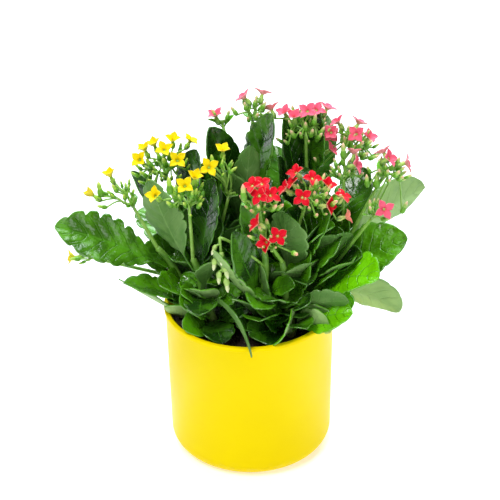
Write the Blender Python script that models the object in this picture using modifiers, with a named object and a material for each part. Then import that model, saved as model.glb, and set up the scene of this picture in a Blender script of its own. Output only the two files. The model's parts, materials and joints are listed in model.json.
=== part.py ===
"""Potted kalanchoe: three plants of one succulent, with yellow, red and pink flowers, grown together
in a plain yellow pot.

Everything is in metres, +Z up. The origin is the centre of the pot's foot, and -Y is the front.
Each plant has a few leafy stems that rise from the soil and lean outwards. Leaves and flower stalks
start on a stem, at a height above one level near the soil, and point along a compass heading: 0 is to
the right (+X), 90 is to the back (+Y), 180 is to the left and 270 is to the front.
"""

import math

import bmesh
import bpy
from mathutils import Matrix, Vector

MM = 0.001

# Pot: a thin turned shell with a small lip and a rounded foot.
POT_RIM_DIAMETER = 134 * MM
POT_TAPER = 2.0 * MM
POT_HEIGHT = 125 * MM
POT_WALL = 2.4 * MM
POT_FLOOR = 3.5 * MM
POT_FOOT_ROUND = 12 * MM
LIP_PROUD = 1.2 * MM
LIP_DEPTH = 4.0 * MM
POT_SIDES = 48

# Soil: one plug that fills the pot to a little below the rim.
SOIL_BELOW_RIM = 15 * MM
SOIL_SIDES = 32

GAP = 0.3 * MM

# The planting fills its pot: sizes and places of the plants are in millimetres for a pot of this rim,
# and grow with the rim. Heights are from a level this far under the rim, so that the leaves that arch
# over it stay clear.
LISTED_RIM = 134 * MM
LEVEL_BELOW_RIM = 15 * MM
LISTED = POT_RIM_DIAMETER / LISTED_RIM * MM

# Plants: sizes that the whole planting shares.
STEM_DIAMETER = 6.5 * LISTED
STEM_TAPER = 0.72
STEM_BURIED = 14 * LISTED
STALK_DIAMETER = 3.2 * LISTED
STALK_TAPER = 0.75
LEAF_THICKNESS = 1.3 * LISTED
PETIOLE_WIDTH = 4.2 * LISTED
FLOWER_WIDTH = 12 * LISTED
FLOWER_DEPTH = 9 * LISTED
PEDICEL_DIAMETER = 1.8 * LISTED
GROWING_GAP = 0.3 * LISTED

SOIL_TOP = POT_HEIGHT - SOIL_BELOW_RIM
LEVEL = POT_HEIGHT - LEVEL_BELOW_RIM
FOOT_DIAMETER = POT_RIM_DIAMETER - 2 * LIP_PROUD - POT_TAPER

# (foot across, foot back), (top across, top back), height
STEMS = {
    "yellow_stem_left": ((-30, 6), (-70, 6), 60),
    "yellow_stem_front": ((-27, -18), (-42, -14), 62),
    "yellow_stem_back": ((-30, 26), (-54, 32), 78),
    "red_stem_left": ((12, -20), (12, -28), 74),
    "red_stem_front": ((32, -25), (25, -28), 66),
    "red_stem_back": ((28, -4), (38, -8), 84),
    "pink_stem_left": ((-6, 24), (-4, 34), 104),
    "pink_stem_middle": ((26, 28), (46, 38), 96),
    "pink_stem_right": ((40, 6), (72, 8), 66),
}

# stem, height on it, heading, rise, droop (how far it bends down), turn about the midrib, length,
# width, cup (how far its sides fold up); angles are in degrees
LEAVES = {
    "yellow_leaf_01": ("yellow_stem_left", 44, 197, 38, 14, 40, 99, 42, 12),
    "yellow_leaf_02": ("yellow_stem_left", 6, 206, 43, 20, 10, 76, 28, 12),
    "yellow_leaf_03": ("yellow_stem_front", 3, 172, 24, -10, -34, 79, 21, 12),
    "yellow_leaf_04": ("yellow_stem_back", 46, 167, 51, -10, 5, 77, 24, 12),
    "yellow_leaf_05": ("yellow_stem_front", 54, 152, 53, -20, -75, 75, 44, 12),
    "yellow_leaf_06": ("yellow_stem_back", 50, 49, 80, 10, 0, 52, 36, 12),
    "yellow_leaf_07": ("yellow_stem_front", 30, 302, 31, 95, 70, 74, 13, 12),
    "yellow_leaf_08": ("yellow_stem_front", 10, 284, 18, 40, 0, 31, 26, 12),
    "yellow_leaf_09": ("yellow_stem_front", 34, 266, 12, 20, 0, 32, 26, 12),
    "yellow_leaf_10": ("yellow_stem_back", 20, 128, 34, 30, 0, 86, 44, 12),
    "red_leaf_01": ("red_stem_front", 22, 338, 39, 30, 63, 49, 26, 12),
    "red_leaf_02": ("red_stem_front", 18, 349, 17, 20, 50, 29, 28, 12),
    "red_leaf_03": ("red_stem_front", 5, 215, 24, 20, 19, 36, 34, 12),
    "red_leaf_04": ("red_stem_left", 30, 207, 69, -10, 55, 71, 32, 12),
    "red_leaf_05": ("red_stem_front", 14, 201, 38, -30, -20, 94, 22, 12),
    "red_leaf_06": ("red_stem_back", 44, 244, 76, -10, 20, 60, 40, 12),
    "red_leaf_07": ("red_stem_back", 34, 351, 61, 15, -25, 61, 36, 12),
    "red_leaf_08": ("red_stem_back", 22, 334, 53, 20, -20, 50, 28, 12),
    "pink_leaf_01": ("pink_stem_left", 61, 215, 84, 16, 81, 101, 33, 12),
    "pink_leaf_02": ("pink_stem_left", 82, 326, 74, 0, -67, 89, 35, 12),
    "pink_leaf_03": ("pink_stem_left", 50, 20, 72, 10, 0, 56, 26, 12),
    "pink_leaf_04": ("pink_stem_left", 71, 281, 80, 50, 37, 48, 24, 12),
    "pink_leaf_05": ("pink_stem_middle", 77, 288, 98, 125, -23, 68, 25, 12),
    "pink_leaf_06": ("pink_stem_middle", 60, 190, 80, 0, 30, 66, 22, 12),
    "pink_leaf_07": ("pink_stem_middle", 58, 70, 60, 10, 0, 97, 42, 12),
    "pink_leaf_08": ("pink_stem_middle", 40, 103, 60, 20, 0, 86, 36, 12),
    "pink_leaf_09": ("pink_stem_right", 59, 60, 56, 15, -1, 63, 32, 12),
    "pink_leaf_10": ("pink_stem_right", 64, 34, 24, 20, 81, 83, 41, 12),
    "pink_leaf_11": ("pink_stem_right", 24, 349, 47, 20, -31, 83, 47, 12),
    "pink_leaf_12": ("pink_stem_right", 18, 316, 53, 40, -26, 76, 46, 12),
    "pink_leaf_13": ("pink_stem_right", 16, 355, 23, 70, 70, 72, 37, 12),
    "pink_leaf_14": ("pink_stem_right", 3, 316, 46, 40, -9, 53, 33, 12),
    "pink_leaf_15": ("pink_stem_left", 24, 98, 38, 30, 0, 90, 46, 12),
    "pink_leaf_16": ("pink_stem_right", 16, 66, 36, 30, 0, 86, 44, 12),
}

# stem, height on it, heading, rise, droop, length of the stalk, spread of the head, its flowers
FLOWER_HEADS = {
    "yellow_flower_head_01": ("yellow_stem_back", 78, 179, 75, 0, 33, 20, 10),
    "yellow_flower_head_02": ("yellow_stem_front", 62, 178, 88, 0, 44, 18, 7),
    "yellow_flower_head_03": ("yellow_stem_front", 40, 30, 73, 0, 73, 12, 4),
    "yellow_flower_head_04": ("yellow_stem_left", 60, 184, 66, 0, 42, 15, 5),
    "yellow_flower_head_05": ("yellow_stem_left", 34, 178, 15, 0, 66, 12, 3),
    "red_flower_head_01": ("red_stem_left", 74, 240, 80, 0, 42, 12, 7),
    "red_flower_head_02": ("red_stem_back", 84, 320, 74, 0, 28, 18, 12),
    "red_flower_head_03": ("red_stem_front", 66, 247, 49, 0, 30, 12, 5),
    "pink_flower_head_01": ("pink_stem_left", 104, 30, 78, 0, 50, 13, 6),
    "pink_flower_head_02": ("pink_stem_left", 92, 116, 58, 0, 54, 12, 3),
    "pink_flower_head_03": ("pink_stem_middle", 96, 106, 85, 0, 43, 18, 8),
    "pink_flower_head_04": ("pink_stem_middle", 80, 12, 52, 0, 55, 18, 7),
    "pink_flower_head_05": ("pink_stem_right", 66, 85, 78, 0, 46, 12, 5),
    "pink_flower_head_06": ("pink_stem_right", 60, 351, 66, 0, 68, 16, 5),
    "pink_flower_head_07": ("pink_stem_right", 40, 323, 58, 0, 70, 12, 4),
}

# Leaf outline: the petiole's share of the length, where the blade is widest, how blunt its tip is,
# and how deep the scallops of its margin are.
PETIOLE_SHARE = 0.14
WIDEST = 1.2
BLUNT = 0.6
SCALLOP = 0.07
LEAF_ROWS = 9
LEAF_COLUMNS = 4

SPREAD_ANGLE = 75
GOLDEN_ANGLE = 137.5


def clear_scene():
    for obj in list(bpy.data.objects):
        bpy.data.objects.remove(obj)


def new_collection(name):
    made = bpy.data.collections.new(name)
    bpy.context.scene.collection.children.link(made)
    return made


def material(name, colour, roughness):
    made = bpy.data.materials.new(name)
    made.use_nodes = True
    shader = made.node_tree.nodes["Principled BSDF"]
    shader.inputs["Base Color"].default_value = (*colour, 1)
    shader.inputs["Roughness"].default_value = roughness
    shader.inputs["Metallic"].default_value = 0.0
    return made


def new_object(name, mesh, collection, finish=None):
    made = bpy.data.objects.new(name, mesh)
    collection.objects.link(made)
    if finish:
        mesh.materials.append(finish)
    return made


def compass(heading, rise):
    """Unit vector along a heading and a rise above level, both in degrees."""
    h, r = math.radians(heading), math.radians(rise)
    return Vector((math.cos(h) * math.cos(r), math.sin(h) * math.cos(r), math.sin(r)))


def arching_point(start, heading, rise, droop, length, share):
    """A point on an arc that leaves start at one rise and bends down by droop degrees over its length."""
    first, bend = math.radians(rise), math.radians(droop)
    if abs(bend) < 0.01:
        return start + compass(heading, rise) * (length * share)
    last = first - bend * share
    outward = length / bend * (math.sin(first) - math.sin(last))
    upward = length / bend * (math.cos(last) - math.cos(first))
    return start + compass(heading, 0) * outward + Vector((0, 0, upward))


def arc(centre_r, centre_z, radius, first, last, steps):
    """Points (r, z) of a round stretch of a turned profile, from one angle to another in degrees."""
    points = []
    for i in range(steps + 1):
        a = math.radians(first + (last - first) * i / steps)
        points.append((centre_r + radius * math.cos(a), centre_z + radius * math.sin(a)))
    return points


def turned(name, profile, sides, collection, finish):
    """A solid of revolution about Z, from (r, z) points that run down the outer side from the axis."""
    mesh = bpy.data.meshes.new(name)
    edges = [(i, i + 1) for i in range(len(profile) - 1)]
    mesh.from_pydata([(r, 0, z) for r, z in profile], edges, [])
    made = new_object(name, mesh, collection, finish)
    screw = made.modifiers.new("turn", "SCREW")
    screw.axis = "Z"
    screw.steps = sides
    screw.render_steps = sides
    screw.use_merge_vertices = True
    screw.merge_threshold = 0.00005
    screw.use_smooth_shade = True
    return made


def tube(name, points, radii, collection, finish=None):
    """A round tapering tube along a line of points, as a curve with filled caps."""
    curve = bpy.data.curves.new(name, "CURVE")
    curve.dimensions = "3D"
    curve.bevel_depth = 1.0
    curve.bevel_resolution = 1
    curve.use_fill_caps = True
    spline = curve.splines.new("POLY")
    spline.points.add(len(points) - 1)
    for knot, place, radius in zip(spline.points, points, radii):
        knot.co = (*place, 1)
        knot.radius = radius
    made = bpy.data.objects.new(name, curve)
    collection.objects.link(made)
    if finish:
        curve.materials.append(finish)
    return made


def as_mesh(obj):
    """Replaces a curve object with a closed mesh of the same name, place and material."""
    graph = bpy.context.evaluated_depsgraph_get()
    mesh = bpy.data.meshes.new_from_object(obj.evaluated_get(graph))
    shape = bmesh.new()
    shape.from_mesh(mesh)
    bmesh.ops.remove_doubles(shape, verts=shape.verts, dist=0.00001)
    bmesh.ops.recalc_face_normals(shape, faces=shape.faces)
    shape.to_mesh(mesh)
    shape.free()
    name = obj.name
    collection = obj.users_collection[0]
    place = obj.matrix_world.copy()
    bpy.data.objects.remove(obj)
    made = new_object(name, mesh, collection)
    made.matrix_world = place
    return made


def as_cutter(obj):
    obj.hide_render = True
    obj.display_type = "WIRE"
    return obj


# ---------------------------------------------------------------- pot and soil

def outer_radius(z):
    """Outer radius of the pot's straight wall at height z."""
    return FOOT_DIAMETER / 2 + POT_TAPER / 2 * z / POT_HEIGHT


def make_pot(collection, finish):
    rim_r = POT_RIM_DIAMETER / 2
    lip_in = outer_radius(POT_HEIGHT) - POT_WALL
    edge = 0.3 * POT_WALL
    inner_round = POT_FOOT_ROUND - POT_WALL
    floor_z = POT_FLOOR + inner_round
    profile = [(0, POT_FLOOR)]
    profile += arc(outer_radius(floor_z) - POT_WALL - inner_round, floor_z, inner_round, 270, 360, 4)
    profile += [
        (lip_in, POT_HEIGHT - edge),
        (lip_in + edge, POT_HEIGHT),
        (rim_r - edge, POT_HEIGHT),
        (rim_r, POT_HEIGHT - edge),
        (rim_r, POT_HEIGHT - LIP_DEPTH + LIP_PROUD),
        (outer_radius(POT_HEIGHT - LIP_DEPTH), POT_HEIGHT - LIP_DEPTH),
    ]
    wall_r = outer_radius(POT_FOOT_ROUND)
    profile += arc(wall_r - POT_FOOT_ROUND, POT_FOOT_ROUND, POT_FOOT_ROUND, 0, -90, 5)
    profile += [(0, 0)]
    return turned("pot", profile, POT_SIDES, collection, finish)


def make_soil(collection, cutters, finish):
    """The plug of soil: it follows the pot's floor and wall a gap clear, and each stem is set in it."""
    inner_round = POT_FOOT_ROUND - POT_WALL
    turn_z = POT_FLOOR + inner_round
    shoulder = 3 * MM
    profile = [
        (0, SOIL_TOP),
        (outer_radius(SOIL_TOP) - POT_WALL - GAP - shoulder, SOIL_TOP),
        (outer_radius(SOIL_TOP - shoulder) - POT_WALL - 2 * GAP, SOIL_TOP - shoulder),
    ]
    wall_r = outer_radius(turn_z) - POT_WALL
    profile += arc(wall_r - inner_round, turn_z, inner_round - 2 * GAP, 0, -90, 4)
    profile += [(0, POT_FLOOR + 2 * GAP)]
    soil = turned("soil", profile, SOIL_SIDES, collection, finish)
    for stem in STEMS:
        hole = tube(stem + "_hole", *stem_line(stem, GAP), cutters)
        cut = soil.modifiers.new(stem, "BOOLEAN")
        cut.operation = "DIFFERENCE"
        cut.solver = "EXACT"
        cut.object = as_cutter(as_mesh(hole))
    return soil


# ---------------------------------------------------------------- stems

def stem_point(stem, height):
    """A point on a stem's centre line, at a height in metres above the listed level."""
    foot, top, tall = STEMS[stem]
    share = height / (tall * LISTED)
    foot = Vector((*foot, 0)) * LISTED
    top = Vector((*top, 0)) * LISTED
    return foot.lerp(top, share) + Vector((0, 0, LEVEL + height))


def stem_radius(stem, height):
    share = max(height / (STEMS[stem][2] * LISTED), 0)
    return STEM_DIAMETER / 2 * (1 - (1 - STEM_TAPER) * share)


def stem_line(stem, clearance=0.0):
    """Points and radii along a stem, from its buried foot to its top, or of the hole that clears it."""
    tall = STEMS[stem][2] * LISTED
    foot = SOIL_TOP - LEVEL - STEM_BURIED
    heights = [foot - clearance, foot + STEM_BURIED, tall / 3, tall * 2 / 3, tall + clearance]
    points = [stem_point(stem, h) for h in heights]
    radii = [stem_radius(stem, h) + clearance for h in heights]
    return points, radii


def make_stem(stem, collection, finish):
    return tube(stem, *stem_line(stem), collection, finish)


def growing_point(stem, height, heading, rise, radius):
    """Where a leaf or stalk of this radius starts: a gap clear of its stem, beside it or on its top."""
    tall = STEMS[stem][2] * LISTED
    height *= LISTED
    along = (stem_point(stem, tall) - stem_point(stem, 0)).normalized()
    if height < tall:
        lean = max(along.dot(compass(heading, 0)) / along.z, 0)
        clear = stem_radius(stem, height) + 2 * GROWING_GAP + radius * (math.sin(math.radians(rise)) + lean)
        return stem_point(stem, height) + compass(heading, 0) * clear
    lean = along.angle(compass(heading, rise))
    return stem_point(stem, height) + along * (GROWING_GAP + radius * math.sin(lean))


# ---------------------------------------------------------------- leaves

def half_width(share, width):
    """Half the leaf's width at a share of its length: a narrow petiole, then a blunt scalloped blade."""
    blade = (share - PETIOLE_SHARE) / (1 - PETIOLE_SHARE)
    if blade <= 0:
        return PETIOLE_WIDTH / 2
    round_off = math.sin(math.pi * min(blade ** WIDEST, 0.985)) ** BLUNT
    return max(PETIOLE_WIDTH / 2, width / 2 * round_off)


def make_leaf(name, collection, finish):
    stem, height, heading, rise, droop, turn, length, width, cup = LEAVES[name]
    length *= LISTED
    width *= LISTED
    start = growing_point(stem, height, heading, rise, LEAF_THICKNESS / 2)
    left = compass(heading + 90, 0)
    shape = bmesh.new()
    bmesh.ops.create_grid(shape, x_segments=LEAF_ROWS, y_segments=LEAF_COLUMNS, size=1)
    for vert in shape.verts:
        share = (vert.co.x + 1) / 2
        across = vert.co.y
        row = round(share * LEAF_ROWS)
        scallop = SCALLOP if row % 2 and share > PETIOLE_SHARE else 0
        half = half_width(share, width) * (1 - scallop)
        along = compass(heading, rise - droop * share)
        twist = Matrix.Rotation(-math.radians(turn) * min(share / 0.25, 1), 3, along)
        side = twist @ left
        up = twist @ along.cross(left)
        lift = half * math.tan(math.radians(cup)) * abs(across) ** 1.3
        middle = arching_point(start, heading, rise, droop, length, share)
        vert.co = middle + side * (half * across) + up * lift
    mesh = bpy.data.meshes.new(name)
    shape.to_mesh(mesh)
    shape.free()
    mesh.shade_smooth()
    leaf = new_object(name, mesh, collection, finish)
    thick = leaf.modifiers.new("thickness", "SOLIDIFY")
    thick.thickness = LEAF_THICKNESS
    thick.offset = 0
    return leaf


# ---------------------------------------------------------------- flower heads

def cone(name, start, direction, length, first_radius, last_radius, sides, collection):
    """A closed cone from a start point along a direction."""
    shape = bmesh.new()
    turn = direction.to_track_quat("Z", "Y").to_matrix().to_4x4()
    place = Matrix.Translation(start + direction * (length / 2)) @ turn
    bmesh.ops.create_cone(
        shape, cap_ends=True, segments=sides, radius1=first_radius, radius2=last_radius,
        depth=length, matrix=place,
    )
    mesh = bpy.data.meshes.new(name)
    shape.to_mesh(mesh)
    shape.free()
    return new_object(name, mesh, collection)


def make_flower_head(name, collection, cutters, finish):
    """A stalk with a dome of short-stalked flowers, joined into one piece."""
    stem, height, heading, rise, droop, length, spread, flowers = FLOWER_HEADS[name]
    length *= LISTED
    spread *= LISTED
    start = growing_point(stem, height, heading, rise, STALK_DIAMETER / 2)
    shares = (0, 0.33, 0.67, 1)
    points = [arching_point(start, heading, rise, droop, length, share) for share in shares]
    radii = [STALK_DIAMETER / 2 * (1 - (1 - STALK_TAPER) * share) for share in shares]
    stalk = as_mesh(tube(name, points, radii, collection))
    stalk.data.materials.append(finish)
    florets = bpy.data.collections.new(name + "_florets")
    cutters.children.link(florets)
    end = points[-1]
    axis = compass(heading, rise - droop)
    frame = axis.to_track_quat("Z", "Y").to_matrix()
    root = end - axis * STALK_DIAMETER
    for k in range(flowers):
        tilt = SPREAD_ANGLE * math.sqrt((k + 0.3) / flowers)
        outward = frame @ compass(k * GOLDEN_ANGLE, 90 - tilt)
        reach = spread * (1 + 0.25 * math.cos(math.radians(tilt)))
        label = f"{name}_floret_{k + 1}"
        as_cutter(cone(label + "_pedicel", root, outward, reach - FLOWER_DEPTH * 0.7,
                       PEDICEL_DIAMETER / 2, PEDICEL_DIAMETER / 2, 5, florets))
        as_cutter(cone(label, root + outward * (reach - FLOWER_DEPTH), outward, FLOWER_DEPTH,
                       PEDICEL_DIAMETER, FLOWER_WIDTH / 2, 6, florets))
    join = stalk.modifiers.new("florets", "BOOLEAN")
    join.operation = "UNION"
    join.solver = "EXACT"
    join.operand_type = "COLLECTION"
    join.collection = florets
    return stalk


def main():
    clear_scene()
    plant = new_collection("potted_kalanchoe")
    cutters = new_collection("cutters")
    make_pot(plant, material("yellow_pot", (1.0, 0.76, 0.0), 0.35))
    make_soil(plant, cutters, material("potting_soil", (0.035, 0.022, 0.014), 0.95))
    stem_green = material("stem_green", (0.16, 0.34, 0.06), 0.5)
    leaf_green = material("leaf_green", (0.05, 0.20, 0.03), 0.35)
    petals = {
        "yellow": material("yellow_petals", (0.95, 0.70, 0.01), 0.5),
        "red": material("red_petals", (0.80, 0.01, 0.02), 0.5),
        "pink": material("pink_petals", (0.90, 0.15, 0.22), 0.5),
    }
    for stem in STEMS:
        make_stem(stem, plant, stem_green)
    for leaf in LEAVES:
        make_leaf(leaf, plant, leaf_green)
    for head in FLOWER_HEADS:
        make_flower_head(head, plant, cutters, petals[head.split("_")[0]])


main()
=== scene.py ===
import json
import math
import random

import bmesh
import bpy
from mathutils import Matrix, Vector, noise

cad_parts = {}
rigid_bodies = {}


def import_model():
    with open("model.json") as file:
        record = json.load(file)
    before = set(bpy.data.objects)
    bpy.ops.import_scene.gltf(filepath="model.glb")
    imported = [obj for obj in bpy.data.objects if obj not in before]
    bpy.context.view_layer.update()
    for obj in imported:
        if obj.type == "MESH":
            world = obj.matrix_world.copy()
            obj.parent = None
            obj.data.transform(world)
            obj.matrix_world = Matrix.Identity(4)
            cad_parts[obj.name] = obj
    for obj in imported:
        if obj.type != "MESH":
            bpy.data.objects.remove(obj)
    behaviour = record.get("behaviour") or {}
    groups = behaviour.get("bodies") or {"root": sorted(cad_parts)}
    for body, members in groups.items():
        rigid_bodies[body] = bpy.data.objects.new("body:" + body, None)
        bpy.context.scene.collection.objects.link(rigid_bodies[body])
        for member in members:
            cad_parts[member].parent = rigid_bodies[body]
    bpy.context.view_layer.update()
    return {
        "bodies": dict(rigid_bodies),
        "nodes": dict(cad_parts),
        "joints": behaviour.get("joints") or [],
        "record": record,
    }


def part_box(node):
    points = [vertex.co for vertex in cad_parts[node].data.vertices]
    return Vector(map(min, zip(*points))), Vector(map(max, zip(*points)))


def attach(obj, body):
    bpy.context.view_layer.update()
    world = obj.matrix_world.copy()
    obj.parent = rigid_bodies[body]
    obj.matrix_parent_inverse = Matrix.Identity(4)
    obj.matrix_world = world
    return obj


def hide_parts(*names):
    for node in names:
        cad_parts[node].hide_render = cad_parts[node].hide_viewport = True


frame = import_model()
MM = 0.001


# ---------------------------------------------------------------- pot
# A plain round cover pot, injection moulded in one piece from glossy yellow plastic. It has a small lip at
# the rim, a rounded foot and a shallow recess under the foot, and the plants simply stand in it.

POT_LOW, POT_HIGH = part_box("pot")
RIM_RADIUS = POT_HIGH.x
POT_TOP = POT_HIGH.z
POT_TAPER = 1 * MM
POT_WALL = 2.4 * MM
POT_FLOOR = 3.5 * MM
FOOT_ROUND = 12 * MM
LIP_PROUD = 1.2 * MM
LIP_DEPTH = 4 * MM
FOOT_RECESS = 0.8 * MM
FOOT_RING = 9 * MM
POT_STEPS = 160


def arc(centre_r, centre_z, radius, first, last, steps):
    """Points (r, z) of a round stretch of a turned profile, from one angle to another in degrees."""
    points = []
    for i in range(steps + 1):
        a = math.radians(first + (last - first) * i / steps)
        points.append((centre_r + radius * math.cos(a), centre_z + radius * math.sin(a)))
    return points


def turned(profile, steps):
    """A closed bmesh turned about Z from (r, z) points that run from the axis out and back to it."""
    shape = bmesh.new()
    verts = [shape.verts.new((r, 0, z)) for r, z in profile]
    edges = [shape.edges.new(pair) for pair in zip(verts, verts[1:])]
    bmesh.ops.spin(
        shape, geom=verts + edges, cent=(0, 0, 0), axis=(0, 0, 1), dvec=(0, 0, 0),
        angle=math.tau, steps=steps, use_merge=True,
    )
    bmesh.ops.remove_doubles(shape, verts=shape.verts, dist=0.00001)
    bmesh.ops.recalc_face_normals(shape, faces=shape.faces)
    return shape


def make_piece(name, shape, finishes, slot, *nodes):
    """An object from a bmesh: it rides on the plant's one body and stands for the CAD nodes given."""
    mesh = bpy.data.meshes.new(name)
    shape.to_mesh(mesh)
    shape.free()
    mesh.shade_smooth()
    for finish in finishes:
        mesh.materials.append(finish)
    piece = bpy.data.objects.new(name, mesh)
    bpy.context.scene.collection.objects.link(piece)
    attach(piece, "root")
    if nodes:
        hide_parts(*nodes)
    return piece


def add_node(tree, kind, sockets=(), **settings):
    """A node in a tree, with its settings, and each input set to a value or joined to another's output."""
    made = tree.nodes.new(kind)
    for name, value in settings.items():
        setattr(made, name, value)
    for name, value in dict(sockets).items():
        if isinstance(value, bpy.types.NodeSocket):
            tree.links.new(value, made.inputs[name])
        else:
            made.inputs[name].default_value = value
    return made


def mixed(tree, factor, first, second, how="MIX"):
    """The output of a colour mix: first where the factor is 0, second where it is 1."""
    made = tree.nodes.new("ShaderNodeMix")
    made.data_type = "RGBA"
    made.blend_type = how
    for socket, value in ((made.inputs[0], factor), (made.inputs[6], first), (made.inputs[7], second)):
        if isinstance(value, bpy.types.NodeSocket):
            tree.links.new(value, socket)
        else:
            socket.default_value = value
    return made.outputs[2]


def spread(tree, value, low, high, first=0.0, last=1.0):
    """The output of a smooth step: first where the value is under low, last where it is over high."""
    made = add_node(tree, "ShaderNodeMapRange", {
        "Value": value, "From Min": low, "From Max": high, "To Min": first, "To Max": last,
    }, interpolation_type="SMOOTHSTEP")
    return made.outputs[0]


def maths(tree, how, first, second=0.0):
    made = tree.nodes.new("ShaderNodeMath")
    made.operation = how
    for socket, value in zip(made.inputs, (first, second)):
        if isinstance(value, bpy.types.NodeSocket):
            tree.links.new(value, socket)
        else:
            socket.default_value = value
    return made.outputs[0]


def new_finish(name, **sockets):
    """A material with its node tree, its shader and its Object coordinates."""
    finish = bpy.data.materials.new(name)
    finish.use_nodes = True
    tree = finish.node_tree
    shader = tree.nodes["Principled BSDF"]
    for socket, value in sockets.items():
        shader.inputs[socket.replace("_", " ").title().replace("Ior", "IOR")].default_value = value
    place = add_node(tree, "ShaderNodeTexCoord")
    return finish, tree, shader, place.outputs["Object"]


def new_group(name, inputs, outputs):
    """A shader node group with named float inputs (name, value) and outputs, and its two end nodes."""
    group = bpy.data.node_groups.new(name, "ShaderNodeTree")
    for socket, kind, value in inputs:
        made = group.interface.new_socket(socket, in_out="INPUT", socket_type=kind)
        if value is not None:
            made.default_value = value
    for socket, kind in outputs:
        group.interface.new_socket(socket, in_out="OUTPUT", socket_type=kind)
    return group, group.nodes.new("NodeGroupInput"), group.nodes.new("NodeGroupOutput")


def mottle_group():
    """Broad patches and fine grain from one place on a surface, for uneven colour and gloss."""
    group, start, end = new_group(
        "mottle",
        [("Place", "NodeSocketVector", None), ("Patch Scale", "NodeSocketFloat", 30.0),
         ("Grain Scale", "NodeSocketFloat", 600.0)],
        [("Patches", "NodeSocketFloat"), ("Grain", "NodeSocketFloat")],
    )
    patches = add_node(group, "ShaderNodeTexNoise", {
        "Vector": start.outputs["Place"], "Scale": start.outputs["Patch Scale"], "Detail": 3.0,
    })
    grain = add_node(group, "ShaderNodeTexNoise", {
        "Vector": start.outputs["Place"], "Scale": start.outputs["Grain Scale"], "Detail": 2.0,
    })
    group.links.new(spread(group, patches.outputs["Fac"], 0.32, 0.68), end.inputs["Patches"])
    group.links.new(grain.outputs["Fac"], end.inputs["Grain"])
    return group


MOTTLE = mottle_group()


def mottle(tree, place, patch_scale, grain_scale):
    """The patches and the grain of one material's own mottle."""
    made = add_node(tree, "ShaderNodeGroup", node_tree=MOTTLE)
    tree.links.new(place, made.inputs["Place"])
    made.inputs["Patch Scale"].default_value = patch_scale
    made.inputs["Grain Scale"].default_value = grain_scale
    return made.outputs["Patches"], made.outputs["Grain"]


def dress(tree, shader, colour, rough, height, depth):
    """Joins a colour, a roughness and a bump from a height to a shader. The bump is as deep as depth."""
    raised = add_node(tree, "ShaderNodeBump", {"Height": height, "Distance": depth, "Strength": 1.0})
    tree.links.new(colour, shader.inputs["Base Color"])
    tree.links.new(rough, shader.inputs["Roughness"])
    tree.links.new(raised.outputs[0], shader.inputs["Normal"])


def pot_plastic():
    finish, tree, shader, place = new_finish("pot_plastic", roughness=0.4, ior=1.18, specular_ior_level=0.2)
    patches, grain = mottle(tree, place, 14, 1500)
    colour = mixed(tree, patches, (0.92, 0.715, 0.0, 1), (0.90, 0.69, 0.0, 1))
    height = add_node(tree, "ShaderNodeSeparateXYZ", {"Vector": place}).outputs["Z"]
    scuffs = add_node(tree, "ShaderNodeTexNoise", {"Vector": place, "Scale": 160.0, "Detail": 6.0})
    near_foot = spread(tree, height, 0.002, 0.016, 1.0, 0.0)
    worn = maths(tree, "MULTIPLY", near_foot, spread(tree, scuffs.outputs["Fac"], 0.52, 0.62))
    colour = mixed(tree, maths(tree, "MULTIPLY", worn, 0.35), colour, (0.86, 0.72, 0.16, 1))
    rough = spread(tree, patches, 0.0, 1.0, 0.28, 0.36)
    rough = maths(tree, "ADD", rough, maths(tree, "MULTIPLY", worn, 0.3))
    dress(tree, shader, colour, rough, grain, 0.000015)
    return finish


def pot_profile():
    edge = 0.45 * POT_WALL
    foot_radius = RIM_RADIUS - LIP_PROUD - POT_TAPER
    inner_round = FOOT_ROUND - POT_WALL
    inner_top = RIM_RADIUS - LIP_PROUD - POT_WALL
    turn_z = POT_FLOOR + inner_round
    profile = [(0, POT_FLOOR)]
    profile += arc(foot_radius - POT_WALL - inner_round, turn_z, inner_round, 270, 360, 8)
    profile += arc(inner_top + edge, POT_TOP - edge, edge, 180, 90, 5)
    profile += arc(RIM_RADIUS - edge, POT_TOP - edge, edge, 90, 0, 5)
    profile += arc(RIM_RADIUS - 0.6 * MM, POT_TOP - LIP_DEPTH + 1.2 * MM, 0.6 * MM, 0, -60, 4)
    profile += [(RIM_RADIUS - LIP_PROUD, POT_TOP - LIP_DEPTH)]
    profile += arc(foot_radius - FOOT_ROUND, FOOT_ROUND, FOOT_ROUND, 0, -90, 12)
    ring = foot_radius - FOOT_ROUND - FOOT_RING
    profile += [(ring, 0), (ring - FOOT_RECESS, FOOT_RECESS), (0, FOOT_RECESS)]
    return profile


make_piece("moulded_pot", turned(pot_profile(), POT_STEPS), [pot_plastic()], "pot", "pot")


# ---------------------------------------------------------------- soil
# Dark peat potting soil fills the pot to a finger's width below the rim. Its top is loose and crumbly, and
# bits of peat and bark lie on it.

SOIL_LOW, SOIL_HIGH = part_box("soil")
SOIL_TOP = SOIL_HIGH.z
SOIL_RINGS = 22
SOIL_STEPS = 96
SOIL_ROUGH = 2.6 * MM
CRUMBS = 260


def potting_soil():
    finish, tree, shader, place = new_finish("potting_soil", roughness=0.95)
    patches, grain = mottle(tree, place, 90, 700)
    colour = mixed(tree, patches, (0.020, 0.011, 0.006, 1), (0.060, 0.036, 0.020, 1))
    colour = mixed(tree, spread(tree, grain, 0.58, 0.7), colour, (0.13, 0.085, 0.05, 1))
    dress(tree, shader, colour, spread(tree, patches, 0.0, 1.0, 0.8, 1.0), grain, 0.0012)
    return finish


def soil_surface(x, y):
    """Height of the soil's rough top at a place."""
    coarse = noise.fractal(Vector((x, y, 0)) * 90, 0.8, 2.0, 4)
    return SOIL_TOP - SOIL_ROUGH * 0.4 + SOIL_ROUGH * coarse


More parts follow.
